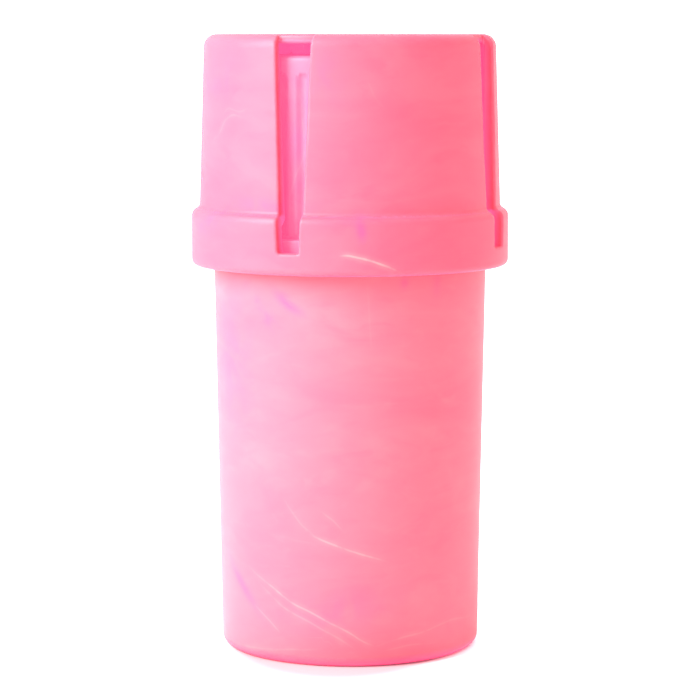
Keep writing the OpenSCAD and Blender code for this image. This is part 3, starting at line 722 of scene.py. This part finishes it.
def marbled(name, shift, base, peach, rose):
    """Pink plastic; shift moves the noise so that no two pieces match."""
    material, tree, shader, add, maths, ramp, mix = nodes_of(name)
    coordinates = add("ShaderNodeTexCoord").outputs["Object"]
    place = add("ShaderNodeMapping", Vector=coordinates, Location=shift, Scale=(1 / MM,) * 3).outputs[0]
    drawn = add("ShaderNodeMapping", Vector=place, Scale=(0.6, 0.6, 1.5)).outputs[0]

    def noise(scale, detail, twist=0.0, where=place):
        made = add("ShaderNodeTexNoise", Vector=where, Scale=scale, Detail=detail, Distortion=twist)
        return made.outputs[0]

    def stored(name):
        made = tree.nodes.new("ShaderNodeAttribute")
        made.attribute_name = name
        return made.outputs["Fac"]

    clouds = noise(0.075, 4, 1.0, drawn)
    colour = mix(ramp(clouds, 0.5, 0.75), base, peach)
    colour = mix(ramp(clouds, 0.5, 0.25), colour, rose)
    streaks = noise(0.26, 5, 0.7, drawn)
    colour = mix(maths("MULTIPLY", ramp(streaks, 0.5, 0.8), 0.7), colour, peach)
    colour = mix(maths("MULTIPLY", ramp(streaks, 0.5, 0.2), 0.7), colour, rose)
    breakup = noise(0.3, 3, 0.4)
    smudge = maths("MULTIPLY", stored("lilac"), ramp(noise(0.16, 4, 1.5), 0.3, 0.65))
    colour = mix(maths("MULTIPLY", smudge, 1.2, clamp=True), colour, LILAC)
    wobble = maths("MULTIPLY", maths("SUBTRACT", noise(0.12, 1), 0.5), WOBBLE)
    lines = []
    for layer in range(VEIN_LAYERS):
        offset = maths("ABSOLUTE", maths("ADD", stored(f"vein_{layer}"), wobble))
        core = maths("SUBTRACT", 1.0, ramp(offset, 0.0, VEIN_WIDTH))
        halo = maths("MULTIPLY", maths("SUBTRACT", 1.0, ramp(offset, 0.0, HALO_WIDTH)), 0.3)
        lines.append(maths("MULTIPLY", maths("MAXIMUM", core, halo), stored(f"strength_{layer}")))
    line = maths("MULTIPLY", maths("MAXIMUM", *lines), 0.23)
    line = maths("MULTIPLY", line, ramp(breakup, 0.2, 0.55))
    colour = mix(line, colour, CREAM)
    tree.links.new(colour, shader.inputs["Base Color"])
    grain = add("ShaderNodeBump", Height=noise(2.5, 4), Strength=0.02, Distance=MM)
    tree.links.new(grain.outputs[0], shader.inputs["Normal"])
    # The emission is painted light, not a lamp: it stands in for light through the walls.
    shader.inputs["Emission Color"].default_value = PAINTED_LIGHT_GLOW
    tree.links.new(stored("through"), shader.inputs["Emission Strength"])
    shader.inputs["Roughness"].default_value = 0.5
    shader.inputs["IOR"].default_value = 1.34
    shader.inputs["Subsurface Weight"].default_value = 0.2
    shader.inputs["Subsurface Radius"].default_value = (1.0, 0.45, 0.6)
    shader.inputs["Subsurface Scale"].default_value = 1.5 * MM
    return material


batches = (
    (outer_cap_skin, (31, 4, 70), 0.70, 0.80),
    (inner_cap_skin, (90, -35, 12), 0.75, 0.75),
    (vial_skin, (-40, 25, 5), 0.93, 0.92),
)
for piece, shift, green, blue in batches:
    shades = [(0.95, g * green, b * blue, 1) for g, b in (BASE_PINK, PEACH_PINK, ROSE_PINK)]
    piece.data.materials.append(marbled("Marbled plastic " + piece.name, shift, *shades))
print("marbled plastic on three pieces")

# %% [markdown]
# The inner pieces are plainer. Acetal is an off-white, slightly waxy plastic. The spring,
# washer and screw are bright steel with fine drawing marks. The gasket is clear-grey silicone
# and the O-ring matt black nitrile rubber.

# %% Other materials
def plain(name, colour, roughness, metal=0.0, scale=600.0, bump=0.03, soft=0.0):
    material, tree, shader, add, maths, ramp, mix = nodes_of(name)
    coordinates = add("ShaderNodeTexCoord").outputs["Object"]
    grain = add("ShaderNodeTexNoise", Vector=coordinates, Scale=scale, Detail=4).outputs[0]
    darker = tuple(c * 0.93 for c in colour[:3]) + (1,)
    tree.links.new(mix(grain, darker, colour), shader.inputs["Base Color"])
    rough = maths("ADD", maths("MULTIPLY", grain, 0.12), roughness - 0.06)
    tree.links.new(rough, shader.inputs["Roughness"])
    tree.links.new(add("ShaderNodeBump", Height=grain, Strength=bump, Distance=MM).outputs[0],
                   shader.inputs["Normal"])
    shader.inputs["Metallic"].default_value = metal
    shader.inputs["Subsurface Weight"].default_value = soft
    shader.inputs["Subsurface Scale"].default_value = MM
    return material


finishes = {
    "acetal": plain("Acetal", (0.83, 0.81, 0.75, 1), 0.4, soft=0.15),
    "spring_steel": plain("Spring steel", (0.62, 0.62, 0.63, 1), 0.28, metal=1.0, scale=2500.0),
    "silicone": plain("Silicone", (0.72, 0.74, 0.75, 1), 0.5, soft=0.4),
    "nitrile": plain("Nitrile rubber", (0.022, 0.022, 0.024, 1), 0.55),
}
for node, (piece, body, finish) in parts.items():
    if finish in finishes:
        piece.data.materials.append(finishes[finish])
print("finishes:", ", ".join(finishes))

# %% [markdown]
# The light is a white studio: a bright world all round, and one broad soft box at the front
# left that lifts that side to a paler pink. The pale floor is wide enough to fade into the
# world, and a faint rosy patch in it, just in front of the foot, is a painted shadow: the
# paper is coloured darker and pink there. The camera is far away with a long lens, which keeps the
# sides of the vial straight.

# %% Studio
def aimed(obj, at):
    """Points a lamp or a camera at a place."""
    obj.rotation_euler = (Vector(at) - obj.location).to_track_quat("-Z", "Y").to_euler()
    return obj


world = bpy.data.worlds.new("White studio")
world.use_nodes = True
world.node_tree.nodes["Background"].inputs["Color"].default_value = (1, 1, 1, 1)
world.node_tree.nodes["Background"].inputs["Strength"].default_value = 2.0
bpy.context.scene.world = world

lamp = bpy.data.lights.new("Soft box", "AREA")
lamp.shape = "RECTANGLE"
lamp.size, lamp.size_y = 0.26, 0.34
lamp.energy = 8.6
lamp.color = (1.0, 0.985, 0.97)
box_light = bpy.data.objects.new("Soft box", lamp)
box_light.location = (-0.355, -0.2, 0.3)
bpy.context.scene.collection.objects.link(aimed(box_light, (0, 0, 0.05)))

FLOOR_R, FLOOR_SIDES = 0.9, 96
corners = [k * math.tau / FLOOR_SIDES for k in range(FLOOR_SIDES)]
floor_mesh = bpy.data.meshes.new("Floor")
floor_mesh.from_pydata([(FLOOR_R * math.cos(a), FLOOR_R * math.sin(a), 0) for a in corners], [],
                       [list(range(FLOOR_SIDES))])
floor = bpy.data.objects.new("Floor", floor_mesh)
bpy.context.scene.collection.objects.link(floor)
paper, tree, shader, add, maths, ramp, mix = nodes_of("White paper")
# The rosy tone is a painted shadow: the paper is coloured darker and pink just in front of the foot.
rosy_painted_shadow, white = (0.38, 0.24, 0.26, 1), (0.93, 0.93, 0.93, 1)
squeezed = add("ShaderNodeVectorMath", i0=add("ShaderNodeTexCoord").outputs["Object"],
               i1=(1.4, 1, 1), i2=(3 * MM, 5 * MM, 0))
squeezed.operation = "MULTIPLY_ADD"
spot = add("ShaderNodeVectorMath", i0=squeezed.outputs[0])
spot.operation = "LENGTH"
painted_shadow_colour = mix(ramp(spot.outputs["Value"], 20 * MM, 33 * MM), rosy_painted_shadow, white)
tree.links.new(painted_shadow_colour, shader.inputs["Base Color"])
shader.inputs["Roughness"].default_value = 0.8
floor.data.materials.append(paper)

camera_data = bpy.data.cameras.new("Camera")
camera_data.lens = 142.5
camera = bpy.data.objects.new("Camera", camera_data)
camera.location = (0, -0.45, 0.1008)
bpy.context.scene.collection.objects.link(aimed(camera, (0, 0, 0.04815)))
bpy.context.scene.camera = camera
bpy.context.scene.view_settings.view_transform = "Standard"
print("lamp, floor and camera set")
